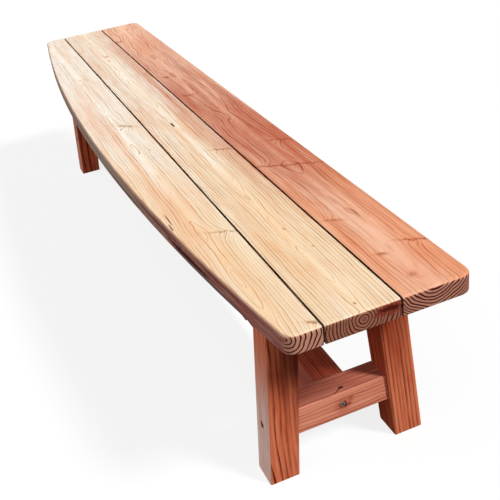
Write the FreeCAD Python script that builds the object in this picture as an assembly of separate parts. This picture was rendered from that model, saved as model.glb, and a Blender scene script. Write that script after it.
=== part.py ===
"""Three-board wooden bench with one bowed edge, standing on two splayed leg sets, in millimetres.

X runs along the bench, -Y is the bowed edge, +Y is the straight edge and Z rises from the floor.
Each end has two legs, a stretcher and a seat cleat. One long stretcher ties the two ends together.
"""
import FreeCAD
import Part
import math
import os

# Seat: three surfaced planks laid side by side
BENCH_LENGTH = 2133.6
SEAT_HEIGHT = 457.2
BOARD_THICKNESS = 38.1
BOARD_WIDTH = 139.7
BOARD_GAP = 3.2
BOW_DEPTH = 76.2
CORNER_RADIUS = 25.4
TOP_ROUNDOVER = 6.0
BOTTOM_ROUNDOVER = 3.0
GAP_EASING = 1.5

# Legs: square posts that lean outwards across the bench only
LEG_SIZE = 63.5
LEG_SPLAY_DEGREES = 5.0
LEG_END_INSET = 152.4
FOOT_EDGE_INSET = 12.7
STOCK_EASING = 3.2

# Stretchers: one between the legs of each end, and one long one between the ends
STRETCHER_HEIGHT = 63.5
STRETCHER_SETBACK = 6.35
STRETCHER_FLOOR_GAP = 97.0
LONG_STRETCHER_WIDTH = 63.5
LONG_STRETCHER_HEIGHT = 88.9

# Cleats: they hold the planks from below, on edge at the legs and flat at mid-length
CLEAT_THICKNESS = 38.1
CLEAT_HEIGHT = 63.5
CLEAT_EDGE_INSET = 38.1
MIDDLE_CLEAT_WIDTH = 88.9
MIDDLE_CLEAT_THICKNESS = 38.1
MIDDLE_CLEAT_EDGE_INSET = 50.8

# Screws: washer heads sunk in counterbores
SCREW_DIAMETER = 6.35
SCREW_POINT = 8.0
HEAD_DIAMETER = 12.7
HEAD_HEIGHT = 4.0
HEAD_CHAMFER = 1.0
COUNTERBORE_DIAMETER = 15.9
COUNTERBORE_DEPTH = 5.5
SHANK_CLEARANCE = 0.4
SEAT_BITE = 26.0
STRETCHER_BITE = 55.0
LONG_STRETCHER_BITE = 70.0
LEG_BITE = 45.0
LEG_SCREW_SPACING = 28.0
SEAT_SCREW_MARGIN = 14.0

# Places that follow from the sizes above
V = FreeCAD.Vector
ALONG = V(1, 0, 0)
ACROSS = V(0, 1, 0)
UP = V(0, 0, 1)
ENDS = {"a": 1, "b": -1}
SIDES = {"bowed_side": -1, "straight_side": 1}
BOARDS = ("bowed", "middle", "straight")
HALF_LENGTH = BENCH_LENGTH / 2
SEAT_WIDTH = len(BOARDS) * BOARD_WIDTH + (len(BOARDS) - 1) * BOARD_GAP
STRAIGHT_EDGE = SEAT_WIDTH / 2
SEAT_UNDERSIDE = SEAT_HEIGHT - BOARD_THICKNESS
BOW_RADIUS = (HALF_LENGTH ** 2 + BOW_DEPTH ** 2) / (2 * BOW_DEPTH)
SPLAY = math.tan(math.radians(LEG_SPLAY_DEGREES))
LEG_WIDTH = LEG_SIZE / math.cos(math.radians(LEG_SPLAY_DEGREES))
LEG_OUTER_X = HALF_LENGTH - LEG_END_INSET
LEG_INNER_X = LEG_OUTER_X - LEG_SIZE
LEG_MIDDLE_X = LEG_OUTER_X - LEG_SIZE / 2
STRETCHER_OUTER_X = LEG_OUTER_X - STRETCHER_SETBACK
STRETCHER_MIDDLE_X = (STRETCHER_OUTER_X + LEG_INNER_X) / 2
STRETCHER_TOP = STRETCHER_FLOOR_GAP + STRETCHER_HEIGHT
STRETCHER_MIDDLE_Z = STRETCHER_FLOOR_GAP + STRETCHER_HEIGHT / 2
CLEAT_INNER_X = LEG_INNER_X - CLEAT_THICKNESS
CLEAT_MIDDLE_X = LEG_INNER_X - CLEAT_THICKNESS / 2
CLEAT_MIDDLE_Z = SEAT_UNDERSIDE - CLEAT_HEIGHT / 2
TINY = 1e-4


def bowed_edge(x):
    """Y of the bowed edge at a place along the bench."""
    return BOW_RADIUS - STRAIGHT_EDGE - math.sqrt(BOW_RADIUS ** 2 - x ** 2)


FRAME_Y = (bowed_edge(LEG_MIDDLE_X) + STRAIGHT_EDGE) / 2
FOOT_REACH = (STRAIGHT_EDGE - bowed_edge(LEG_MIDDLE_X)) / 2 - FOOT_EDGE_INSET


def leg_reach(z):
    """Distance from the middle of a leg set to the outer faces of its legs at a height."""
    return FOOT_REACH - z * SPLAY


def board_sides(board, x):
    """The two Y limits of a plank at a place along the bench."""
    low = BOARDS.index(board) * (BOARD_WIDTH + BOARD_GAP) - STRAIGHT_EDGE
    high = low + BOARD_WIDTH
    if board == "bowed":
        low = bowed_edge(x)
    return low, high


def eased(solid, edges, radius):
    """The solid with a rounded arris on the given edges."""
    return solid.makeFillet(radius, edges).Solids[0]


def edges_along(solid, direction):
    """Straight edges that run in one direction."""
    wanted = V(direction).normalize()
    straight = [edge for edge in solid.Edges if isinstance(edge.Curve, Part.Line)]
    return [edge for edge in straight if edge.tangentAt(edge.FirstParameter).cross(wanted).Length < TINY]


def edges_at_height(solid, z, loose_sides):
    """Edges that lie level at a height, without those on the planks' gap sides."""
    boxes = [(edge, edge.BoundBox) for edge in solid.Edges]
    level = [(edge, box) for edge, box in boxes if abs(box.ZMin - z) < TINY and abs(box.ZMax - z) < TINY]
    return [edge for edge, box in level if not on_sides(box, loose_sides)]


def on_sides(box, sides):
    """Whether an edge's box lies in one of the given upright planes."""
    return any(abs(box.YMin - y) < TINY and abs(box.YMax - y) < TINY for y in sides)


def prism_along(outline, x_from, x_to):
    """A straight length of stock with an outline in Y and Z, between two places along the bench."""
    points = [V(x_from, y, z) for y, z in outline]
    face = Part.Face(Part.makePolygon(points + points[:1]))
    return face.extrude(V(x_to - x_from, 0, 0))


def seat_board(board):
    """A plank: its plan is cut first, then its outer corners and arrises are rounded."""
    low, high = board_sides(board, HALF_LENGTH)
    near_low = V(HALF_LENGTH, low, SEAT_UNDERSIDE)
    near_high = V(HALF_LENGTH, high, SEAT_UNDERSIDE)
    far_low = V(-HALF_LENGTH, low, SEAT_UNDERSIDE)
    far_high = V(-HALF_LENGTH, high, SEAT_UNDERSIDE)
    low_side = Part.makeLine(far_low, near_low)
    if board == "bowed":
        low_side = Part.Arc(far_low, V(0, bowed_edge(0), SEAT_UNDERSIDE), near_low).toShape()
    outline = [
        low_side,
        Part.makeLine(near_low, near_high),
        Part.makeLine(near_high, far_high),
        Part.makeLine(far_high, far_low),
    ]
    plank = Part.Face(Part.Wire(outline)).extrude(V(0, 0, BOARD_THICKNESS))

    outer_side = {"bowed": low, "straight": high}.get(board)
    gap_sides = [y for y in (low, high) if y != outer_side]
    corners = [edge for edge in edges_along(plank, UP) if not on_sides(edge.BoundBox, gap_sides)]
    if corners:
        plank = eased(plank, corners, CORNER_RADIUS)
    plank = eased(plank, edges_at_height(plank, SEAT_HEIGHT, gap_sides), TOP_ROUNDOVER)
    plank = eased(plank, edges_at_height(plank, SEAT_UNDERSIDE, gap_sides), BOTTOM_ROUNDOVER)
    return eased(plank, [edge for edge in plank.Edges if on_sides(edge.BoundBox, gap_sides)], GAP_EASING)


def leg(side, end):
    """A leaning post, cut level at the floor and under the planks."""
    outline = []
    for z, inward in ((0, 0), (0, LEG_WIDTH), (SEAT_UNDERSIDE, LEG_WIDTH), (SEAT_UNDERSIDE, 0)):
        outline.append((FRAME_Y + side * (leg_reach(z) - inward), z))
    post = prism_along(outline, end * LEG_INNER_X, end * LEG_OUTER_X)
    return eased(post, edges_along(post, V(0, -side * SPLAY, 1)), STOCK_EASING)


def end_stretcher(end):
    """The short rail between two legs, its ends cut to their lean and its back flush with them."""
    bottom = STRETCHER_FLOOR_GAP
    top = STRETCHER_TOP
    outline = []
    for side, z in ((-1, bottom), (1, bottom), (1, top), (-1, top)):
        outline.append((FRAME_Y + side * (leg_reach(z) - LEG_WIDTH), z))
    rail = prism_along(outline, end * LEG_INNER_X, end * STRETCHER_OUTER_X)
    return eased(rail, edges_along(rail, ACROSS), STOCK_EASING)


def long_stretcher():
    """The rail down the middle of the bench, its top level with the end stretchers."""
    low = FRAME_Y - LONG_STRETCHER_WIDTH / 2
    high = FRAME_Y + LONG_STRETCHER_WIDTH / 2
    bottom = STRETCHER_TOP - LONG_STRETCHER_HEIGHT
    outline = [(low, bottom), (high, bottom), (high, STRETCHER_TOP), (low, STRETCHER_TOP)]
    rail = prism_along(outline, -LEG_INNER_X, LEG_INNER_X)
    return eased(rail, edges_along(rail, ALONG), STOCK_EASING)


def cleat(low, high, height, x_from, x_to):
    """A bar across the underside of the planks, square at its ends, with its lower arrises rounded."""
    bottom = SEAT_UNDERSIDE - height
    outline = [(low, SEAT_UNDERSIDE), (low, bottom), (high, bottom), (high, SEAT_UNDERSIDE)]
    bar = prism_along(outline, x_from, x_to)
    lower_edges = [edge for edge in edges_along(bar, ACROSS) if edge.BoundBox.ZMax < SEAT_UNDERSIDE]
    return eased(bar, lower_edges, STOCK_EASING)


def screw(seat, direction, length):
    """A washer-head screw whose head bears on the seat point and whose shank runs in the direction."""
    shank = SCREW_DIAMETER / 2
    head = HEAD_DIAMETER / 2
    outline = [
        V(0, 0, -HEAD_HEIGHT),
        V(head - HEAD_CHAMFER, 0, -HEAD_HEIGHT),
        V(head, 0, HEAD_CHAMFER - HEAD_HEIGHT),
        V(head, 0, 0),
        V(shank, 0, 0),
        V(shank, 0, length - SCREW_POINT),
        V(0, 0, length),
    ]
    half = Part.Face(Part.makePolygon(outline + outline[:1]))
    solid = half.revolve(V(0, 0, 0), UP, 360)
    solid.Placement = FreeCAD.Placement(seat, FreeCAD.Rotation(UP, direction))
    return solid


wood = {}
cuts = {}
screws = {}


def fasten(group, entry, direction, through, bite, held_by, into):
    """A screw that enters one piece at a point and bites into the next one, with the holes for it."""
    seat = entry + direction * COUNTERBORE_DEPTH
    outside = entry - direction * COUNTERBORE_DIAMETER
    sunk = COUNTERBORE_DEPTH + COUNTERBORE_DIAMETER
    recess = Part.makeCylinder(COUNTERBORE_DIAMETER / 2, sunk, outside, direction)
    bore = Part.makeCylinder((SCREW_DIAMETER + SHANK_CLEARANCE) / 2, through, seat, direction)
    body = screw(seat, direction, through - COUNTERBORE_DEPTH + bite)
    screws.setdefault(group, []).append(body)
    cuts.setdefault(held_by, []).extend([recess, bore])
    cuts.setdefault(into, []).append(body)


def seat_screw_places(board, x, low, high):
    """The two Y places of a plank's screws in a cleat that spans low to high."""
    board_low, board_high = board_sides(board, x)
    first = max(board_low, low) + SEAT_SCREW_MARGIN
    last = min(board_high, high) - SEAT_SCREW_MARGIN
    return first, last


def screw_down_boards(group, cleat_name, x, low, high, height):
    """Two screws up into each plank from below, and the Y places of each plank's two."""
    places = {}
    for board in BOARDS:
        places[board] = seat_screw_places(board, x, low, high)
        for y in places[board]:
            entry = V(x, y, SEAT_UNDERSIDE - height)
            fasten(group, entry, UP, height, SEAT_BITE, cleat_name, "seat_board_" + board)
    return places


def build_end(letter, end):
    """One leg set: two legs, the stretcher between them, the cleat behind them and their screws."""
    rail_name = "end_stretcher_" + letter
    cleat_name = "seat_cleat_" + letter
    inward = ALONG * -end
    wood[rail_name] = end_stretcher(end)
    low = bowed_edge(CLEAT_MIDDLE_X) + CLEAT_EDGE_INSET
    high = STRAIGHT_EDGE - CLEAT_EDGE_INSET
    wood[cleat_name] = cleat(low, high, CLEAT_HEIGHT, end * CLEAT_INNER_X, end * LEG_INNER_X)
    places = screw_down_boards(
        "seat_screws_" + letter, cleat_name, end * CLEAT_MIDDLE_X, low, high, CLEAT_HEIGHT
    )

    # The leg screws stand midway between two neighbouring seat screws, clear of both
    leg_screw_y = {
        "bowed_side": (max(places["bowed"]) + min(places["middle"])) / 2,
        "straight_side": sum(places["straight"]) / len(places["straight"]),
    }
    for side_name, side in SIDES.items():
        leg_name = "leg_" + letter + "_" + side_name
        wood[leg_name] = leg(side, end)
        outer_y = FRAME_Y + side * leg_reach(STRETCHER_MIDDLE_Z)
        entry = V(end * STRETCHER_MIDDLE_X, outer_y, STRETCHER_MIDDLE_Z)
        fasten(
            "stretcher_screws_" + letter, entry, ACROSS * -side, LEG_WIDTH, STRETCHER_BITE,
            leg_name, rail_name,
        )
        for lift in (-LEG_SCREW_SPACING / 2, LEG_SCREW_SPACING / 2):
            entry = V(end * CLEAT_INNER_X, leg_screw_y[side_name], CLEAT_MIDDLE_Z + lift)
            fasten(
                "leg_screws_" + letter, entry, ALONG * end, CLEAT_THICKNESS, LEG_BITE,
                cleat_name, leg_name,
            )

    entry = V(end * STRETCHER_OUTER_X, FRAME_Y, STRETCHER_MIDDLE_Z)
    fasten(
        "long_stretcher_screw_" + letter, entry, inward, STRETCHER_OUTER_X - LEG_INNER_X,
        LONG_STRETCHER_BITE, rail_name, "long_stretcher",
    )


for name in BOARDS:
    wood["seat_board_" + name] = seat_board(name)
wood["long_stretcher"] = long_stretcher()
for letter, end in ENDS.items():
    build_end(letter, end)

middle_low = bowed_edge(0) + MIDDLE_CLEAT_EDGE_INSET
middle_high = STRAIGHT_EDGE - MIDDLE_CLEAT_EDGE_INSET
wood["middle_cleat"] = cleat(
    middle_low, middle_high, MIDDLE_CLEAT_THICKNESS, -MIDDLE_CLEAT_WIDTH / 2, MIDDLE_CLEAT_WIDTH / 2
)
screw_down_boards(
    "middle_cleat_screws", "middle_cleat", 0, middle_low, middle_high, MIDDLE_CLEAT_THICKNESS
)

os.makedirs("parts", exist_ok=True)
for name, blank in wood.items():
    piece = blank.cut(cuts[name]) if name in cuts else blank
    piece.Solids[0].exportStep("parts/" + name + ".step")
    print(name, len(piece.Solids), "solid", round(piece.Volume / 1000), "cm3", piece.isValid())
for name, group in screws.items():
    Part.makeCompound(group).exportStep("parts/" + name + ".step")
    print(name, len(group), "screws", all(body.isValid() for body in group))
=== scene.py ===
import math
from collections import namedtuple

import bmesh
import bpy
from mathutils import Matrix, Vector


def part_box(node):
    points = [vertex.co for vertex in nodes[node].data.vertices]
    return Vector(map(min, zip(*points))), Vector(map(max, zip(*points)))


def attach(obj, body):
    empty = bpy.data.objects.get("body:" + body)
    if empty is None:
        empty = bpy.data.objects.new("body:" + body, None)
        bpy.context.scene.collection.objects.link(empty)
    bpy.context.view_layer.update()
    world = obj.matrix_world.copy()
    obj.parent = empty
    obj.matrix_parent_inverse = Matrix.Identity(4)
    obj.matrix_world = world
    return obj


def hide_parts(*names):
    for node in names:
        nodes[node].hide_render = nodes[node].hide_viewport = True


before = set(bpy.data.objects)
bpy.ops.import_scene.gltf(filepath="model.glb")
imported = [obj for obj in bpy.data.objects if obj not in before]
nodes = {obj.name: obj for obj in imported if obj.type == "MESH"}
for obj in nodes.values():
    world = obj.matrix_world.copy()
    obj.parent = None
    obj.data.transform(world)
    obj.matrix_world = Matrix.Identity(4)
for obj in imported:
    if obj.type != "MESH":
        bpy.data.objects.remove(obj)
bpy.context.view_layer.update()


# Legs
# Four square posts of red softwood, sawn so that the growth rings stand as dark stripes on the end faces.
# Each leans outwards across the bench and is screwed to a cleat under the seat and to its end stretcher.

class Measure:
    """A number that a wood finish works out at every point of the piece, added up in plain arithmetic."""

    def __init__(self, socket):
        self.socket = socket
        self.tree = socket.id_data

    def worked(self, operation, *others):
        node = self.tree.nodes.new("ShaderNodeMath")
        node.operation = operation
        for socket, value in zip(node.inputs, (self, *others)):
            feed(self.tree, value, socket)
        return Measure(node.outputs[0])

    def __add__(self, other):
        return self.worked("ADD", other)

    def __sub__(self, other):
        return self.worked("SUBTRACT", other)

    def __mul__(self, other):
        return self.worked("MULTIPLY", other)

    def __truediv__(self, other):
        return self.worked("DIVIDE", other)

    def squared(self):
        return self.worked("MULTIPLY", self)

    def root(self):
        return self.worked("SQRT")

    def size(self):
        return self.worked("ABSOLUTE")

    def whole(self):
        return self.worked("FLOOR")

    def fraction(self):
        return self.worked("FRACT")

    def or_more(self, other):
        return self.worked("MAXIMUM", other)

    def ramp(self, low, high, start, end):
        """Goes smoothly from start at low to end at high."""
        node = self.tree.nodes.new("ShaderNodeMapRange")
        node.interpolation_type = "SMOOTHSTEP"
        given = {"Value": self, "From Min": low, "From Max": high, "To Min": start, "To Max": end}
        for name, value in given.items():
            feed(self.tree, value, node.inputs[name])
        return Measure(node.outputs[0])

    def rise(self, low, high, top=1.0):
        return self.ramp(low, high, 0.0, top)

    def fall(self, low, high, top=1.0):
        return self.ramp(low, high, top, 0.0)


def feed(tree, value, socket):
    if isinstance(value, Measure):
        tree.links.new(value.socket, socket)
    else:
        socket.default_value = value


def tone(red, green, blue):
    """A colour as a screen shows it, 0 to 255, in the linear numbers that shaders take."""
    parts = [c / 255 for c in (red, green, blue)]
    return tuple(p / 12.92 if p <= 0.04045 else ((p + 0.055) / 1.055) ** 2.4 for p in parts) + (1.0,)


def blended(tree, share, first, second, way="MIX"):
    """The first colour, with a share of the second laid over it."""
    node = tree.nodes.new("ShaderNodeMix")
    node.data_type = "RGBA"
    node.blend_type = way
    factor, under, over = node.inputs[0], node.inputs[6], node.inputs[7]
    feed(tree, share, factor)
    for colour, socket in ((first, under), (second, over)):
        if isinstance(colour, tuple):
            socket.default_value = colour
        else:
            tree.links.new(colour, socket)
    return node.outputs[2]


SEED_SHIFTS = (7.3, 3.1, 5.7)


def drift(grain, waves, seed, detail=2.0):
    """Soft uneven change, about -0.5 to 0.5, in waves of that length in metres along, across and through."""
    tree = grain[0].tree
    joined = tree.nodes.new("ShaderNodeCombineXYZ")
    for way, wave, socket, shift in zip(grain, waves, joined.inputs, SEED_SHIFTS):
        feed(tree, way / wave + seed * shift, socket)
    noise = tree.nodes.new("ShaderNodeTexNoise")
    noise.inputs["Scale"].default_value = 1.0
    noise.inputs["Detail"].default_value = detail
    tree.links.new(joined.outputs[0], noise.inputs["Vector"])
    return Measure(noise.outputs["Fac"]) - 0.5


YEARS_APART = 41.0


def year_shade(ring, seed):
    """0 to 1, another value for each year's ring."""
    node = ring.tree.nodes.new("ShaderNodeTexWhiteNoise")
    node.noise_dimensions = "1D"
    feed(ring.tree, ring.whole() + seed * YEARS_APART, node.inputs["W"])
    return Measure(node.outputs["Value"])


def late_wood(years, start):
    """The dark line at the end of each year's growth, from that part of the year on."""
    phase = years.fraction()
    darkening = phase.rise(start, 0.94).worked("POWER", 1.3)
    winter_stop = phase.fall(0.95, 1.0)
    return darkening * winter_stop


def oval(grain, along, across, half_along, half_across, slant=0.0):
    """Distance from a spot on the face, where 1 is the rim of an oval of that half length and half width."""
    ahead = grain[0] - along
    aside = grain[1] - across
    ahead = ahead - aside * slant
    return ((ahead / half_along).squared() + (aside / half_across).squared()).root()


def facing(tree, direction):
    """How squarely the surface faces along a direction: 1 is straight at it, -1 straight away."""
    geometry = tree.nodes.new("ShaderNodeNewGeometry")
    dot = tree.nodes.new("ShaderNodeVectorMath")
    dot.operation = "DOT_PRODUCT"
    tree.links.new(geometry.outputs["Normal"], dot.inputs[0])
    dot.inputs[1].default_value = direction
    return Measure(dot.outputs["Value"])


# Marks on a piece, by place and half size in metres along, across and through it from its centre. A knot that
# lies below the face has no dark and only pulls the rings aside. A side's tint covers the surface that turns
# towards a direction, and fades out along the piece. An edge stain lies on the edge that side 1 or -1 names.
Knot = namedtuple("Knot", "along across half_along half_across pull dark slant", defaults=(0.0,))
Patch = namedtuple("Patch", "along across half_along half_across tint share", defaults=(1.0,))
Split = namedtuple("Split", "along across half_along half_across")
Side = namedtuple("Side", "direction tint share turn fade")
EdgeStain = namedtuple(
    "EdgeStain", "side along through half_along half_through tint share slant", defaults=(0.0,))
EndStain = namedtuple("EndStain", "across through half_across half_through tint share")

KNOT_GIVES = ("Reach", "Core", "Halo")
KNOT_TAKES = ("Along", "Across", "Ragged", "Torn", "Ring",
              "Place", "Way", "Half along", "Half across", "Pull", "Dark", "Slant")


def knot_group():
    """One knot: the grain swells round it, and it has a dark rim and rings of its own inside a warm halo."""
    tree = bpy.data.node_groups.new("knot", "ShaderNodeTree")
    for name in KNOT_GIVES + KNOT_TAKES:
        tree.interface.new_socket(name, in_out="INPUT", socket_type="NodeSocketFloat")
    for name in KNOT_GIVES:
        tree.interface.new_socket(name, in_out="OUTPUT", socket_type="NodeSocketFloat")
    given = {s.name: Measure(s) for s in tree.nodes.new("NodeGroupInput").outputs if s.name}
    grain = (given["Along"], given["Across"])
    spot = (given["Place"], given["Way"])
    half_along, half_across, slant = (given[n] for n in ("Half along", "Half across", "Slant"))

    swollen_along = half_along * 3.0 + half_across * 0.9
    swollen_across = half_across * 1.35
    bulge = oval(grain, *spot, swollen_along, swollen_across, slant)
    swell = (bulge.squared() * 1.6 + 1.0).worked("POWER", -1.4) * given["Pull"] * given["Ring"]

    torn = (grain[0] + given["Torn"] * half_across * 0.9, grain[1])
    far = oval(torn, *spot, half_along, half_across, slant)
    rim = far + given["Ragged"] * 0.9
    own_rings = (far * 2.3 + given["Ragged"] * 0.8).fraction().rise(0.35, 0.95, 0.5)
    inner = own_rings + rim.rise(0.45, 0.85, 0.5)
    broken = given["Ragged"].rise(-0.12, 0.12, 0.75) + 0.25
    core = rim.fall(0.8, 1.1) * (inner + 0.45) * broken * given["Dark"]
    halo = far.fall(0.7, 2.8) * given["Dark"] * 0.7

    result = tree.nodes.new("NodeGroupOutput")
    feed(tree, given["Reach"] - swell, result.inputs["Reach"])
    feed(tree, given["Core"].or_more(core), result.inputs["Core"])
    feed(tree, given["Halo"].or_more(halo), result.inputs["Halo"])
    return tree


def grain_axes(tree, centre, directions):
    """How far a point lies from the centre of the piece along each direction, in metres."""
    coordinates = tree.nodes.new("ShaderNodeTexCoord")
    offset = tree.nodes.new("ShaderNodeVectorMath")
    offset.operation = "SUBTRACT"
    tree.links.new(coordinates.outputs["Object"], offset.inputs[0])
    offset.inputs[1].default_value = centre
    axes = []
    for direction in directions:
        dot = tree.nodes.new("ShaderNodeVectorMath")
        dot.operation = "DOT_PRODUCT"
        tree.links.new(offset.outputs[0], dot.inputs[0])
        dot.inputs[1].default_value = direction
        axes.append(Measure(dot.outputs["Value"]))
    return axes


KNOT = knot_group()
SQUARE_ON = (0.55, 0.92)
WHOLE_LENGTH = (1.2, 1.3)
DRY_WOOD_SHINE = 0.06
BUMP_STRENGTH = 0.4
BUMP_HEIGHT = 0.0007


def sawn_wood(name, centre, along, across, pith, ring, tones, seed, wander=(0.004, 0.003), wave=(0.5, 0.5),
              contrast=(1.0, 1.0), bold=0.5, crowding=0.0, between=(1.0, 0.0), knots=(), patches=(),
              splits=(), sides=(), edge_stains=(), end_stains=()):
    """A finish cut from a solid log: rings round the pith, dark late wood, knots, patches and end grain.

    centre, along and across place the piece. pith is the log's heart, across and through from that centre.
    ring is a year's width, bold the share of it that is dark, and crowding narrows the years further out.
    wander is how far the heart strays, across and through. wave and contrast are the waviness and strength
    of the lines, each at the far and the near end. between adds fainter lines: how many times closer they
    are, and how strong.
    """
    material = bpy.data.materials.new(name)
    material.use_nodes = True
    tree = material.node_tree
    shader = tree.nodes["Principled BSDF"]
    along, across = Vector(along), Vector(across)
    through = along.cross(across)
    grain = grain_axes(tree, centre, (along, across, through))

    # The heart of the log wanders along the piece from its place at the near end, and the rings are uneven.
    # slab is 1 where the face lies along the rings, as on a flat-sawn board, and 0 where it cuts across them.
    still = grain[0] * 0.0
    lengthwise = (grain[0], still, still)
    strayed = grain[0].fall(0.45, 1.0, 4.0)
    heart_across = drift(lengthwise, (0.55, 1, 1), seed, 3.0) * strayed * wander[0] + pith[0]
    heart_through = drift(lengthwise, (0.38, 1, 1), seed + 1, 3.0) * strayed * wander[1] + pith[1]
    out_across = grain[1] - heart_across
    out_through = grain[2] - heart_through
    reach = (out_across.squared() + out_through.squared()).root()
    slab = out_across * facing(tree, across) + out_through * facing(tree, through)
    slab = (slab / reach).squared()
    waviness = grain[0].rise(-0.3, 0.5, wave[1] - wave[0]) + wave[0]
    strength = grain[0].rise(0.2, 0.9, contrast[1] - contrast[0]) + contrast[0]
    reach = reach + drift(grain, (0.28, 0.085, 0.085), seed + 2) * (waviness * 2.0 + 1.5) * ring
    reach = reach + drift(grain, (0.085, 0.030, 0.030), seed + 3) * waviness * ring

    # Each knot pulls the rings aside, and adds its dark core and halo to those of the knots before it.
    ragged = drift(grain, (0.012, 0.005, 0.005), seed + 4, 3.0)
    torn = drift(grain, (0.060, 0.011, 0.011), seed + 5, 3.0)
    core = still
    halo = still
    for knot in knots:
        node = tree.nodes.new("ShaderNodeGroup")
        node.node_tree = KNOT
        given = (reach, core, halo, grain[0], grain[1], ragged, torn, ring, *knot)
        for socket, value in zip(node.inputs, given):
            feed(tree, value, socket)
        reach, core, halo = (Measure(node.outputs[gives]) for gives in KNOT_GIVES)

    # The lines of late wood differ from year to year, wear away in places and pale where the rings lie flat.
    uneven_years = drift((reach, still, still), (0.017, 1, 1), seed + 6) * 1.2
    years = reach / ring * (reach * crowding + 1.0) + uneven_years
    thin = slab.squared() * 0.42 + (0.84 - bold)
    late = late_wood(years, thin)
    lines = late.or_more(late_wood(years * between[0], thin) * between[1])
    worn = drift(grain, (0.10, 0.012, 0.012), seed + 13, 3.0).rise(-0.22, 0.14, 0.6) + 0.4
    shade = (year_shade(years, seed) * 0.7 + 0.3) * worn
    crossed = (slab * -1.0 + 1.0).rise(0.0, 0.12, 0.65) + 0.35
    line_share = lines * shade * (slab * 0.35 + 0.9) * crossed * strength
    colour = blended(tree, line_share, tones["early"], tones["late"])

    # Over the lines lie soft clouds of colour, patches, fibres, knots and open splits.
    fibre = drift(grain, (0.09, 0.0011, 0.0011), seed + 7, 4.0)
    streak = drift(grain, (0.6, 0.009, 0.009), seed + 8, 3.0)
    cloud = drift(grain, (0.35, 0.05, 0.05), seed + 9, 3.0).rise(-0.15, 0.25)
    colour = blended(tree, cloud, colour, tones["blush"], "MULTIPLY")
    mottle = drift(grain, (0.06, 0.014, 0.014), seed + 14, 4.0).rise(-0.05, 0.25, 0.7)
    colour = blended(tree, mottle, colour, tones["blush"], "MULTIPLY")
    feather = drift(grain, (0.35, 0.020, 0.020), seed + 10, 4.0) * 1.8
    for patch in patches:
        soft = oval(grain, patch.along, patch.across, patch.half_along, patch.half_across) + feather
        colour = blended(tree, soft.fall(0.1, 1.3, patch.share), colour, patch.tint, "MULTIPLY")
    colour = blended(tree, (fibre + streak * 1.6).rise(-0.25, 0.7), colour, tones["fibre"], "MULTIPLY")
    colour = blended(tree, halo, colour, tones["halo"], "MULTIPLY")
    colour = blended(tree, core, colour, tones["knot"])
    for split in splits:
        slit = oval(grain, split.along, split.across, split.half_along, split.half_across)
        colour = blended(tree, (slit + ragged * 0.8).fall(0.5, 1.0), colour, tones["split"])

    # Side tints colour the surface that turns towards a direction, blotchy and matt: some are the wood's own
    # sawn colour, others are painted shade and painted light. Edge stains lie over them.
    end_on = facing(tree, along).size() - facing(tree, through).size() * 0.5
    sawn_end = end_on.rise(0.35, 0.60)
    blotch = drift(grain, (0.07, 0.012, 0.008), seed + 12, 4.0) * 1.1 + streak * 0.9 + fibre * 0.6
    matt = sawn_end * 0.15
    for side in sides:
        turned = facing(tree, side.direction).rise(*side.turn, side.share) * grain[0].fall(*side.fade)
        colour = blended(tree, turned * (blotch + 0.88), colour, side.tint)
        matt = matt.or_more(turned * 0.4)
    for stain in edge_stains:
        spot = oval((grain[0], grain[2]), stain.along, stain.through,
                    stain.half_along, stain.half_through, stain.slant) + ragged * 0.9
        seen = facing(tree, across * stain.side).rise(*SQUARE_ON) * spot.fall(0.6, 1.1, stain.share)
        colour = blended(tree, seen, colour, stain.tint)

    # The sawn ends show the same rings as arcs, dark and full of pores.
    arcs = (late * (shade * 0.4 + 0.75)).rise(0.02, 0.40)
    end_colour = blended(tree, arcs, tones["end_early"], tones["end_late"])
    for stain in end_stains:
        spot = oval((grain[1], grain[2]), stain.across, stain.through,
                    stain.half_across, stain.half_through) + ragged * 2.0
        end_colour = blended(tree, spot.fall(0.6, 1.15, stain.share), end_colour, stain.tint)
    pores = drift(grain, (1.0, 0.0022, 0.0022), seed + 11, 4.0)
    end_colour = blended(tree, pores.rise(-0.15, 0.35, 0.8), end_colour, tones["fibre"], "MULTIPLY")
    colour = blended(tree, sawn_end, colour, end_colour)
    tree.links.new(colour, shader.inputs["Base Color"])

    rough = fibre * 0.25 - late * 0.10 + matt + 0.60
    tree.links.new(rough.socket, shader.inputs["Roughness"])
    shader.inputs["Specular IOR Level"].default_value = DRY_WOOD_SHINE
    bump = tree.nodes.new("ShaderNodeBump")
    bump.inputs["Strength"].default_value = BUMP_STRENGTH
    bump.inputs["Distance"].default_value = BUMP_HEIGHT
    feed(tree, late * 0.6 + fibre * 0.9 - core * 0.5 + sawn_end * pores, bump.inputs["Height"])
    tree.links.new(bump.outputs["Normal"], shader.inputs["Normal"])
    return material


def dress(node, material):
    """Puts a finish on a piece of the frame."""
    nodes[node].data.materials.clear()
    nodes[node].data.materials.append(material)


def middle_of(node):
    low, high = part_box(node)
    return tuple((low + high) / 2)


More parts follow.
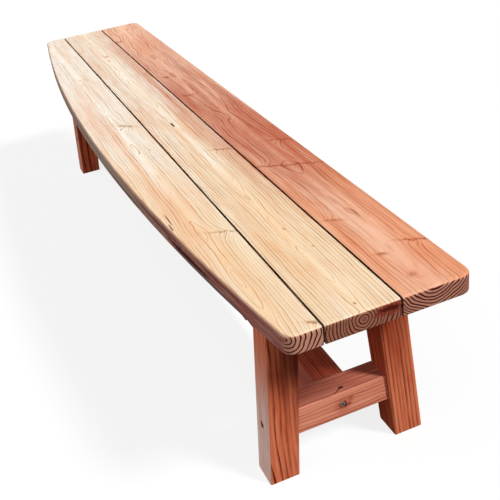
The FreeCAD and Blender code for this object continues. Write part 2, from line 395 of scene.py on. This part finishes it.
RED_POST = {
    "early": tone(240, 138, 98), "late": tone(96, 24, 10), "blush": tone(236, 206, 194),
    "fibre": tone(226, 196, 184), "end_early": tone(200, 136, 106), "end_late": tone(112, 50, 34),
    "halo": tone(190, 120, 96), "knot": tone(84, 34, 20), "split": tone(46, 20, 12),
}
GREY_ROSE = tone(255, 222, 211)
DULL_ROSE = tone(226, 158, 138)
PAINTED_INNER_SHADE = tone(164, 54, 25)
LOWER_HALF = (-0.12, 0.13)
LEG_SPLAY = 5
LEG_SEED = 2
# Painted shade: the patch on the near straight-side leg darkens its upper part, and the one on the far
# bowed-side leg darkens the whole leg, for the shade under the seat. The near bowed-side leg's patch darkens
# a band down the upper part of its front.
LEG_CUTS = {
    "leg_a_bowed_side": {"pith": (-0.075, -0.110), "ring": 0.0074, "bold": 0.62,
                         "patches": [Patch(0.10, 0.030, 0.26, 0.034, tone(134, 88, 76))]},
    "leg_a_straight_side": {"pith": (0.120, -0.070), "ring": 0.0076, "bold": 0.54,
                            "patches": [Patch(0.17, 0.0, 0.20, 0.08, tone(190, 162, 152))]},
    "leg_b_bowed_side": {"pith": (-0.060, 0.130), "ring": 0.0060, "bold": 0.70,
                         "patches": [Patch(0.05, 0.0, 0.5, 0.5, tone(244, 214, 202))]},
    "leg_b_straight_side": {"pith": (0.090, 0.100), "ring": 0.0070, "bold": 0.74},
}
GRAIN_LEAN = {"leg_a_bowed_side": 2}
PAINTED_LIGHT_OUTER_FACE = {"leg_a_bowed_side": GREY_ROSE}
for number, (leg, cut) in enumerate(LEG_CUTS.items()):
    outwards = -1 if leg.endswith("bowed_side") else 1
    lean = math.radians(-outwards * GRAIN_LEAN.get(leg, LEG_SPLAY))
    up_the_leg = (0, math.sin(lean), math.cos(lean))
    across_the_leg = (0, math.cos(lean), -math.sin(lean))
    # The outer face of each leg is paler grey-pink on its lower half and palest on the near bowed-side leg:
    # partly the wood's own paler outer colour, partly painted light below the seat's shade.
    outer = Side((0, outwards, 0), PAINTED_LIGHT_OUTER_FACE.get(leg, DULL_ROSE), share=0.94, turn=SQUARE_ON, fade=LOWER_HALF)
    # Painted shade: the inner face of each leg, towards the space under the seat, is darkened for the shade
    # there.
    inner = Side((0, -outwards, 0), PAINTED_INNER_SHADE, share=0.75, turn=SQUARE_ON, fade=WHOLE_LENGTH)
    dress(leg, sawn_wood(
        leg + "_wood", middle_of(leg), up_the_leg, across_the_leg, tones=RED_POST, seed=LEG_SEED + number,
        wander=(0.004, 0.004), wave=(0.2, 0.2), contrast=(1.2, 1.2), sides=[outer, inner], **cut))


# End stretchers and long stretcher
# Rails of the same red softwood with close straight grain. The short ones are screwed between the posts of
# each leg set, and the long one runs under the seat's middle line and is screwed through their faces.

LENGTHWISE = (1, 0, 0)
SIDEWAYS = (0, 1, 0)
UPRIGHT = (0, 0, 1)
SALMON_RAIL = {
    "early": tone(246, 162, 132), "late": tone(130, 48, 30), "blush": tone(238, 212, 204),
    "fibre": tone(230, 206, 198), "end_early": tone(200, 136, 106), "end_late": tone(112, 50, 34),
    "halo": tone(206, 150, 126), "knot": tone(92, 36, 24), "split": tone(48, 20, 14),
}
# Painted shade: the long stretcher takes a darker copy of the posts' red wood for the shade under the seat.
PAINTED_SHADE_RAIL = {**RED_POST, "early": tone(186, 88, 60), "late": tone(56, 16, 8)}
# Painted shade: the tops of the end stretchers are darkened for the seat's shade over them.
PAINTED_SHADE_RAIL_TOP = tone(162, 90, 74)
RAIL_KNOTS = {
    "end_stretcher_a": (Knot(0.0164, 0.008, 0.0055, 0.0055, pull=1.0, dark=0.65),
                        Knot(0.0134, -0.0014, 0.0022, 0.0024, pull=0.3, dark=1.0)),
    "end_stretcher_b": (Knot(-0.041, 0.012, 0.0045, 0.0050, pull=1.0, dark=0.6),),
}
RAIL_STAINS = {
    "end_stretcher_a": (EdgeStain(1, 0.0035, 0.0150, 0.0062, 0.0042, tone(48, 12, 8), 1.0),
                        EdgeStain(1, -0.0040, 0.0190, 0.0042, 0.0080, tone(96, 34, 24), 0.85, slant=-1.9)),
}
RECESS_SHADE_RADIUS = 0.0092
RAIL_SEED = 11
LONG_RAIL_SEED = 15
for number, rail in enumerate(RAIL_KNOTS):
    # Painted shade: a dark ring round each screw's recess in the stretcher face stands for the shade in the
    # recess.
    screw = Vector(middle_of("long_stretcher_screw_" + rail[-1])) - Vector(middle_of(rail))
    painted_recess_shade = Knot(screw.y, screw.z, RECESS_SHADE_RADIUS, RECESS_SHADE_RADIUS, pull=0.0, dark=0.9)
    dress(rail, sawn_wood(
        rail + "_wood", middle_of(rail), SIDEWAYS, UPRIGHT, pith=(-0.12, -0.10), ring=0.0062,
        tones=SALMON_RAIL, seed=RAIL_SEED + number, wander=(0.003, 0.003), wave=(0.3, 0.3), bold=0.52,
        contrast=(0.85, 0.85),
        knots=(*RAIL_KNOTS[rail], painted_recess_shade), edge_stains=RAIL_STAINS.get(rail, ()),
        sides=[Side(UPRIGHT, PAINTED_SHADE_RAIL_TOP, share=0.85, turn=SQUARE_ON, fade=WHOLE_LENGTH)]))
dress("long_stretcher", sawn_wood(
    "long_stretcher_wood", middle_of("long_stretcher"), LENGTHWISE, SIDEWAYS, pith=(0.10, 0.08), ring=0.0060,
    tones=PAINTED_SHADE_RAIL, seed=LONG_RAIL_SEED, wave=(0.3, 0.3), bold=0.55))


# Cleats
# Plain bars of softwood under the seat. The end ones stand on edge behind the legs and take the screws that
# hold the planks from below, and the flat middle one keeps the planks level with each other.

CLEAT_SEED = 17
for number, cleat in enumerate(("seat_cleat_a", "seat_cleat_b", "middle_cleat")):
    dress(cleat, sawn_wood(
        cleat + "_wood", middle_of(cleat), SIDEWAYS, LENGTHWISE, pith=(0.06, -0.09), ring=0.0048,
        tones=SALMON_RAIL, seed=CLEAT_SEED + number, wave=(0.3, 0.3)))


# Seat planks
# Three surfaced softwood planks laid side by side: one pale with an outer edge sawn to a bow, one cream with
# the log's heart in it, and one of red heartwood. Their top edges are rounded over and sanded.

TOWARDS_BOW = (0, -1, 0)
TOWARDS_STRAIGHT = (0, 1, 0)
# Painted shade: the walls of the gaps between the planks, and the rounded edges that turn into them, are
# coloured near black for the shade that falls in the gaps.
SHADED_GAP = tone(40, 4, 1)
INTO_GAP = (0.36, 0.70)
PAINTED_GAP_SHADE_BOW_SIDE = Side(TOWARDS_BOW, SHADED_GAP, share=0.97, turn=INTO_GAP, fade=WHOLE_LENGTH)
PAINTED_GAP_SHADE_STRAIGHT_SIDE = Side(TOWARDS_STRAIGHT, SHADED_GAP, share=0.97, turn=INTO_GAP, fade=WHOLE_LENGTH)


def on_plank(node, marks):
    """Marks given by their place on the bench, in metres, as places on the plank."""
    middle = middle_of(node)
    return [mark._replace(along=mark.along - middle[0], across=mark.across - middle[1]) for mark in marks]


PALE_PLANK = {
    "early": tone(255, 251, 240), "late": tone(184, 120, 74), "blush": tone(254, 239, 228),
    "fibre": tone(250, 240, 230), "end_early": tone(212, 152, 130), "end_late": tone(68, 18, 10),
    "halo": tone(240, 216, 190), "knot": tone(128, 86, 60), "split": tone(112, 62, 40),
}
ROUND_OVER = (0.25, 0.5)
SAWN_EDGE = (0.7, 0.95)
TAN_ROUND = tone(206, 156, 128)
# The bowed edge is dark: partly its own sawn, streaked colour, partly painted shade.
SAWN_BOW_AND_SHADE = tone(164, 98, 92)
GREY_BOW = tone(184, 166, 150)
FAR_HALF = (0.15, 0.75)
BLACK_STREAK = tone(60, 22, 20)
BROWN_STREAK = tone(118, 92, 82)
# Painted sheen: a grey strip low on the bowed edge, towards the near end.
PAINTED_GREY_SHEEN = tone(126, 106, 102)
dress("seat_board_bowed", sawn_wood(
    "bowed_plank_wood", middle_of("seat_board_bowed"), LENGTHWISE, SIDEWAYS, pith=(0.007, 0.011), ring=0.0068,
    tones=PALE_PLANK, seed=31, contrast=(1.15, 0.85), wave=(1.2, 1.0), bold=0.36, between=(2.0, 0.6),
    knots=on_plank("seat_board_bowed", (
        Knot(-0.005, -0.112, 0.007, 0.018, pull=2.2, dark=0.8, slant=0.9),
        Knot(0.69, -0.092, 0.003, 0.030, pull=2.4, dark=0.7, slant=0.5),
        Knot(0.195, -0.104, 0.003, 0.003, pull=1.2, dark=0.6),
        Knot(0.614, -0.140, 0.003, 0.002, pull=0.6, dark=0.6),
        Knot(1.05, -0.080, 0.004, 0.010, pull=1.4, dark=0.9, slant=0.6),
        Knot(0.24, -0.122, 0.090, 0.014, pull=0.6, dark=0.0),
        Knot(-0.42, -0.128, 0.030, 0.012, pull=1.4, dark=0.0),
        Knot(0.86, -0.135, 0.026, 0.014, pull=1.5, dark=0.0))),
    splits=on_plank("seat_board_bowed", (
        Split(0.575, -0.175, 0.034, 0.0017), Split(0.612, -0.180, 0.022, 0.0021))),
    patches=on_plank("seat_board_bowed", (
        Patch(0.80, -0.12, 0.80, 0.40, tone(253, 236, 213)),
        Patch(-0.10, -0.165, 0.35, 0.040, tone(252, 230, 222), 0.7),
        Patch(0.50, -0.150, 0.26, 0.034, tone(250, 218, 196), 0.55),
        Patch(0.84, -0.125, 0.26, 0.030, tone(251, 226, 198), 0.45))),
    sides=[
        Side(TOWARDS_BOW, TAN_ROUND, share=0.9, turn=ROUND_OVER, fade=WHOLE_LENGTH),
        Side(TOWARDS_BOW, SAWN_BOW_AND_SHADE, share=0.97, turn=SAWN_EDGE, fade=WHOLE_LENGTH),
        Side(TOWARDS_BOW, GREY_BOW, share=0.9, turn=SAWN_EDGE, fade=FAR_HALF),
        PAINTED_GAP_SHADE_STRAIGHT_SIDE],
    edge_stains=[
        EdgeStain(-1, 0.70, -0.004, 0.11, 0.0070, BLACK_STREAK, 0.9),
        EdgeStain(-1, 0.55, 0.006, 0.16, 0.0030, BLACK_STREAK, 0.8),
        EdgeStain(-1, 0.84, 0.009, 0.10, 0.0025, BLACK_STREAK, 0.7),
        EdgeStain(-1, 0.30, -0.009, 0.20, 0.0030, BLACK_STREAK, 0.7),
        EdgeStain(-1, -0.05, 0.005, 0.30, 0.0026, BROWN_STREAK, 0.7),
        EdgeStain(-1, -0.45, -0.006, 0.34, 0.0032, BROWN_STREAK, 0.7),
        EdgeStain(-1, -0.75, 0.008, 0.26, 0.0022, BROWN_STREAK, 0.7),
        EdgeStain(-1, 0.80, -0.0125, 0.17, 0.0048, PAINTED_GREY_SHEEN, 0.85),
        EdgeStain(-1, 0.78, -0.0165, 0.12, 0.0018, BLACK_STREAK, 0.8)]))

CREAM_PLANK = {
    "early": tone(255, 245, 229), "late": tone(178, 114, 68), "blush": tone(253, 238, 225),
    "fibre": tone(249, 237, 223), "end_early": tone(168, 112, 90), "end_late": tone(86, 34, 24),
    "halo": tone(240, 214, 184), "knot": tone(118, 74, 46), "split": tone(70, 40, 24),
}
RED_END = tone(140, 58, 42)
DARK_END = tone(78, 20, 14)
dress("seat_board_middle", sawn_wood(
    "middle_plank_wood", middle_of("seat_board_middle"), LENGTHWISE, SIDEWAYS, pith=(0.001, 0.005),
    ring=0.0066, tones=CREAM_PLANK, seed=32, contrast=(1.2, 0.9), wander=(0.005, 0.007), wave=(1.2, 1.0),
    bold=0.38, between=(2.0, 0.6),
    knots=on_plank("seat_board_middle", (
        Knot(-0.69, 0.002, 0.006, 0.006, pull=1.2, dark=0.7),
        Knot(0.305, 0.046, 0.003, 0.022, pull=2.0, dark=0.8, slant=0.5),
        Knot(0.58, 0.0, 0.016, 0.003, pull=0.8, dark=0.35),
        Knot(0.747, 0.007, 0.005, 0.0014, pull=0.5, dark=0.8, slant=0.3),
        Knot(0.836, 0.025, 0.004, 0.0018, pull=0.6, dark=0.8, slant=0.3),
        Knot(1.038, 0.0, 0.003, 0.0020, pull=0.5, dark=0.8),
        Knot(0.885, 0.0, 0.026, 0.014, pull=2.4, dark=0.0),
        Knot(0.43, 0.008, 0.034, 0.016, pull=2.8, dark=0.0),
        Knot(0.16, 0.0, 0.034, 0.015, pull=2.6, dark=0.0),
        Knot(-0.25, 0.004, 0.034, 0.015, pull=2.6, dark=0.0),
        Knot(-0.83, 0.004, 0.030, 0.012, pull=2.0, dark=0.0))),
    splits=on_plank("seat_board_middle", (Split(0.071, -0.004, 0.022, 0.0036),)),
    patches=on_plank("seat_board_middle", (
        Patch(-0.50, 0.060, 0.60, 0.036, tone(238, 212, 206)),
        Patch(0.22, 0.066, 0.55, 0.042, tone(236, 206, 198)),
        Patch(0.80, 0.0, 0.75, 0.40, tone(253, 240, 219)))),
    sides=[PAINTED_GAP_SHADE_BOW_SIDE, PAINTED_GAP_SHADE_STRAIGHT_SIDE],
    end_stains=[
        EndStain(0.047, 0.008, 0.030, 0.0150, RED_END, 0.9),
        EndStain(0.048, 0.008, 0.022, 0.0055, DARK_END, 0.9)]))

RED_PLANK = {
    "early": tone(251, 206, 176), "late": tone(176, 92, 64), "blush": tone(248, 226, 217),
    "fibre": tone(243, 227, 218), "end_early": tone(202, 140, 118), "end_late": tone(64, 18, 10),
    "halo": tone(226, 186, 162), "knot": tone(128, 66, 44), "split": tone(76, 36, 24),
}
dress("seat_board_straight", sawn_wood(
    "straight_plank_wood", middle_of("seat_board_straight"), LENGTHWISE, SIDEWAYS, pith=(-0.003, 0.061),
    ring=0.0125, tones=RED_PLANK, seed=33, contrast=(1.15, 0.8), wander=(0.020, 0.008), wave=(0.3, 0.3),
    bold=0.46, crowding=9.0, between=(3.0, 0.7),
    knots=on_plank("seat_board_straight", (
        Knot(-0.84, 0.079, 0.006, 0.010, pull=0.8, dark=0.9, slant=0.3),
        Knot(-0.323, 0.100, 0.005, 0.010, pull=1.0, dark=0.8, slant=0.5),
        Knot(-0.12, 0.104, 0.007, 0.012, pull=1.2, dark=0.8, slant=0.3),
        Knot(0.339, 0.178, 0.003, 0.022, pull=0.9, dark=0.7, slant=0.5),
        Knot(0.465, 0.100, 0.004, 0.026, pull=1.0, dark=0.8, slant=0.5),
        Knot(0.495, 0.160, 0.004, 0.040, pull=0.5, dark=0.7, slant=0.4),
        Knot(0.77, 0.100, 0.003, 0.014, pull=0.7, dark=0.7, slant=0.5),
        Knot(0.93, 0.114, 0.004, 0.007, pull=0.4, dark=0.8, slant=0.4),
        Knot(0.918, 0.190, 0.003, 0.020, pull=0.8, dark=0.9, slant=0.5),
        Knot(1.015, 0.124, 0.006, 0.006, pull=0.4, dark=0.6))),
    patches=on_plank("seat_board_straight", (
        Patch(0.22, 0.14, 0.55, 0.20, tone(214, 176, 168)),
        Patch(-0.40, 0.12, 0.45, 0.16, tone(240, 232, 234)),
        Patch(0.80, 0.088, 0.50, 0.030, tone(250, 226, 208)),
        Patch(0.80, 0.190, 0.60, 0.044, tone(250, 222, 202)))),
    sides=[PAINTED_GAP_SHADE_BOW_SIDE]))


# Screws
# Zinced construction screws, tarnished brown in places, with a washer head, a six-lobed drive recess and a
# coarse rolled thread. Each is driven into a bored recess, so that its head lies below the face of the wood.

SCREW_SIDES = 24
HEAD_RADIUS = 0.00635
HEAD_HEIGHT = 0.004
# The head's outline, as shares of its radius and depths below its top.
HEAD_OUTLINE = ((0.70, 0.0), (0.90, 0.0003), (0.98, 0.0009), (1.0, 0.0016),
                (1.0, 0.0026), (0.96, 0.0031), (0.60, HEAD_HEIGHT))
THREAD_RADIUS = 0.00315
THREAD_ROOT = 0.0024
THREAD_PITCH = 0.0036
STEPS_PER_TURN = 6
BARE_SHANK = 0.012
POINT_LENGTH = 0.008
POINT_TAPER = 0.7
POINT_RADIUS = 0.0002
LOBES = 6
LOBE_RADIUS = 0.0027
LOBE_DEPTH = 0.0005
RECESS_DEPTH = 0.0024
RECESS_TAPER = 0.86
RECESS_MOUTH = 0.0001
SHARP_EDGE = math.radians(35)


def screw_rings(length):
    """The screw from the bottom of its recess to its point: each ring's depth, and its radius by angle."""
    angles = [2 * math.pi * side / SCREW_SIDES for side in range(SCREW_SIDES)]
    lobes = [LOBE_RADIUS + LOBE_DEPTH * math.cos(LOBES * angle) for angle in angles]
    rings = [(RECESS_DEPTH, [lobe * RECESS_TAPER for lobe in lobes]), (RECESS_MOUTH, lobes)]
    rings += [(depth, [HEAD_RADIUS * share] * SCREW_SIDES) for share, depth in HEAD_OUTLINE]
    thread_start = HEAD_HEIGHT + BARE_SHANK
    rings.append((thread_start, [THREAD_RADIUS] * SCREW_SIDES))
    steps = int((length - POINT_LENGTH - thread_start) / THREAD_PITCH * STEPS_PER_TURN)
    for step in range(1, steps + 1):
        depth = thread_start + step * THREAD_PITCH / STEPS_PER_TURN
        crest = [abs(((depth / THREAD_PITCH + angle / (2 * math.pi)) % 1.0) * 2 - 1) for angle in angles]
        rings.append((depth, [THREAD_ROOT + (THREAD_RADIUS - THREAD_ROOT) * c ** 3 for c in crest]))
    rings.append((length - POINT_LENGTH / 2, [THREAD_ROOT * POINT_TAPER] * SCREW_SIDES))
    rings.append((length, [POINT_RADIUS] * SCREW_SIDES))
    return angles, rings


def add_screw(mesh, top, inwards, length):
    """Adds one screw whose head's top is at that point and whose point lies inwards."""
    turn = inwards.to_track_quat("Z", "Y").to_matrix()
    angles, rings = screw_rings(length)
    loops = []
    for depth, radii in rings:
        loops.append([mesh.verts.new(top + turn @ Vector((r * math.cos(a), r * math.sin(a), depth)))
                      for r, a in zip(radii, angles)])
    for near, far in zip(loops, loops[1:]):
        for side in range(SCREW_SIDES):
            following = (side + 1) % SCREW_SIDES
            mesh.faces.new((near[side], near[following], far[following], far[side]))
    mesh.faces.new(loops[0])
    mesh.faces.new(list(reversed(loops[-1])))


def screws_in(node):
    """Where each screw of a node lies: its head's top, the way it points, and its length."""
    solids = bmesh.new()
    solids.from_mesh(nodes[node].data)
    bmesh.ops.remove_doubles(solids, verts=solids.verts, dist=1e-6)
    unseen = set(solids.verts)
    for first in solids.verts:
        if first not in unseen:
            continue
        unseen.remove(first)
        group = {first}
        edge_of_group = [first]
        while edge_of_group:
            vertex = edge_of_group.pop()
            touching = {edge.other_vert(vertex) for edge in vertex.link_edges} & unseen
            unseen -= touching
            group |= touching
            edge_of_group.extend(touching)
        points = [v.co for v in group]
        low = Vector([min(p[axis] for p in points) for axis in range(3)])
        high = Vector([max(p[axis] for p in points) for axis in range(3)])
        axis = max(range(3), key=lambda a: high[a] - low[a])
        middle = (low + high) / 2
        across = [a for a in range(3) if a != axis]
        widest = max(points, key=lambda p: max(abs(p[a] - middle[a]) for a in across))
        inwards = Vector((0, 0, 0))
        inwards[axis] = 1 if widest[axis] < middle[axis] else -1
        top = middle.copy()
        top[axis] = low[axis] if inwards[axis] > 0 else high[axis]
        yield top, inwards, high[axis] - low[axis]
    solids.free()


BRIGHT_ZINC = tone(150, 138, 128)
DULL_ZINC = tone(112, 98, 88)
BROWN_TARNISH = tone(98, 66, 50)
SPANGLE_SIZE = 0.0022
TARNISH_SIZE = 0.0060
steel = bpy.data.materials.new("zinced_steel")
steel.use_nodes = True
tree = steel.node_tree
steel_shader = tree.nodes["Principled BSDF"]
steel_shader.inputs["Metallic"].default_value = 1.0
steel_place = tree.nodes.new("ShaderNodeSeparateXYZ")
tree.links.new(tree.nodes.new("ShaderNodeTexCoord").outputs["Object"], steel_place.inputs[0])
spots = [Measure(output) for output in steel_place.outputs]
spangle = drift(spots, (SPANGLE_SIZE,) * 3, seed=3, detail=3.0)
tarnish = drift(spots, (TARNISH_SIZE,) * 3, seed=5, detail=4.0)
zinc = blended(tree, spangle.rise(-0.2, 0.3), BRIGHT_ZINC, DULL_ZINC)
zinc = blended(tree, tarnish.rise(-0.1, 0.2, 0.8), zinc, BROWN_TARNISH)
tree.links.new(zinc, steel_shader.inputs["Base Color"])
feed(tree, spangle * 0.3 + tarnish * 0.4 + 0.42, steel_shader.inputs["Roughness"])

for node in [name for name in nodes if "screw" in name]:
    bundle = bmesh.new()
    for top, inwards, length in screws_in(node):
        add_screw(bundle, top, inwards, length)
    bmesh.ops.recalc_face_normals(bundle, faces=bundle.faces)
    for face in bundle.faces:
        face.smooth = True
    screw_mesh = bpy.data.meshes.new(node + "_turned")
    bundle.to_mesh(screw_mesh)
    bundle.free()
    screw_mesh.set_sharp_from_angle(angle=SHARP_EDGE)
    screw_mesh.materials.append(steel)
    screws = bpy.data.objects.new(node + "_turned", screw_mesh)
    bpy.context.scene.collection.objects.link(screws)
    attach(screws, "root")
    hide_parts(node)


# Floor, light and camera
# A plain pale floor under one broad soft lamp, with a sky that is brighter on the bowed side. The floor looks
# nearly white to the camera and keeps the bench's shadow, but throws only a little light back at the bench.

FLOOR_SIZE = 30.0
FLOOR_BOUNCE = tone(104, 100, 96)
FLOOR_SEEN = tone(124, 124, 124)
FLOOR_GLOW = 0.82
WHITE = (1.0, 1.0, 1.0, 1.0)
half = FLOOR_SIZE / 2
floor_corners = [(-half, -half, 0), (half, -half, 0), (half, half, 0), (-half, half, 0)]
floor_mesh = bpy.data.meshes.new("floor")
floor_mesh.from_pydata(floor_corners, [], [(0, 1, 2, 3)])
floor = bpy.data.objects.new("floor", floor_mesh)
bpy.context.scene.collection.objects.link(floor)


def seen_directly(tree):
    """1 for what the camera or a mirror-like surface looks at, 0 for light on its way to the bench."""
    path = tree.nodes.new("ShaderNodeLightPath")
    seen = Measure(path.outputs["Is Camera Ray"])
    seen = seen.or_more(Measure(path.outputs["Is Glossy Ray"]))
    return seen.or_more(Measure(path.outputs["Is Transmission Ray"]))


paper = bpy.data.materials.new("pale_floor")
paper.use_nodes = True
tree = paper.node_tree
paper_shader = tree.nodes["Principled BSDF"]
paper_shader.inputs["Roughness"].default_value = 1.0
paper_shader.inputs["Specular IOR Level"].default_value = 0.0
paper_tone = blended(tree, seen_directly(tree), FLOOR_BOUNCE, FLOOR_SEEN)
tree.links.new(paper_tone, paper_shader.inputs["Base Color"])
paper_shader.inputs["Emission Color"].default_value = WHITE
feed(tree, seen_directly(tree) * FLOOR_GLOW, paper_shader.inputs["Emission Strength"])
floor_mesh.materials.append(paper)

SKY_SIDE_LIGHT = 1.4
SKY_EVEN_LIGHT = 0.10
sky = bpy.data.worlds.new("sky")
bpy.context.scene.world = sky
sky.use_nodes = True
background = sky.node_tree.nodes["Background"]
background.inputs["Color"].default_value = WHITE
sky_way = sky.node_tree.nodes.new("ShaderNodeSeparateXYZ")
sky.node_tree.links.new(sky.node_tree.nodes.new("ShaderNodeTexCoord").outputs["Generated"], sky_way.inputs[0])
on_bowed_side = Measure(sky_way.outputs["Y"]).fall(-0.9, 0.1)
high_up = Measure(sky_way.outputs["Z"]).rise(0.10, 0.55, SKY_SIDE_LIGHT)
sky_light = on_bowed_side * high_up + SKY_EVEN_LIGHT
seen = seen_directly(sky.node_tree)
feed(sky.node_tree, sky_light * (seen * -1.0 + 1.0) + seen, background.inputs["Strength"])

LAMP_DIRECTION = Vector((0.53, 0.48, 0.70))
LAMP_STRENGTH = 2.75
LAMP_SPREAD = math.radians(12)
lamp_data = bpy.data.lights.new("broad_lamp", "SUN")
lamp_data.energy = LAMP_STRENGTH
lamp_data.angle = LAMP_SPREAD
lamp = bpy.data.objects.new("broad_lamp", lamp_data)
lamp.rotation_euler = LAMP_DIRECTION.to_track_quat("Z", "Y").to_euler()
bpy.context.scene.collection.objects.link(lamp)

CAMERA_PLACE = Vector((2.0055, -0.4889, 1.2074))
CAMERA_TURN = math.radians(71.48)
CAMERA_LOOK_DOWN = math.radians(30.19)
CAMERA_ROLL = math.radians(-7.985)
CAMERA_LENS = 57.88
back = Vector((math.sin(CAMERA_TURN) * math.cos(CAMERA_LOOK_DOWN),
               -math.cos(CAMERA_TURN) * math.cos(CAMERA_LOOK_DOWN), math.sin(CAMERA_LOOK_DOWN)))
level = Vector((math.cos(CAMERA_TURN), math.sin(CAMERA_TURN), 0))
above = back.cross(level)
right = level * math.cos(CAMERA_ROLL) + above * math.sin(CAMERA_ROLL)
up = above * math.cos(CAMERA_ROLL) - level * math.sin(CAMERA_ROLL)
camera_data = bpy.data.cameras.new("camera")
camera_data.lens = CAMERA_LENS
camera = bpy.data.objects.new("camera", camera_data)
camera.matrix_world = Matrix.Translation(CAMERA_PLACE) @ Matrix((right, up, back)).transposed().to_4x4()
bpy.context.scene.collection.objects.link(camera)
bpy.context.scene.camera = camera
bpy.context.scene.view_settings.view_transform = "Standard"
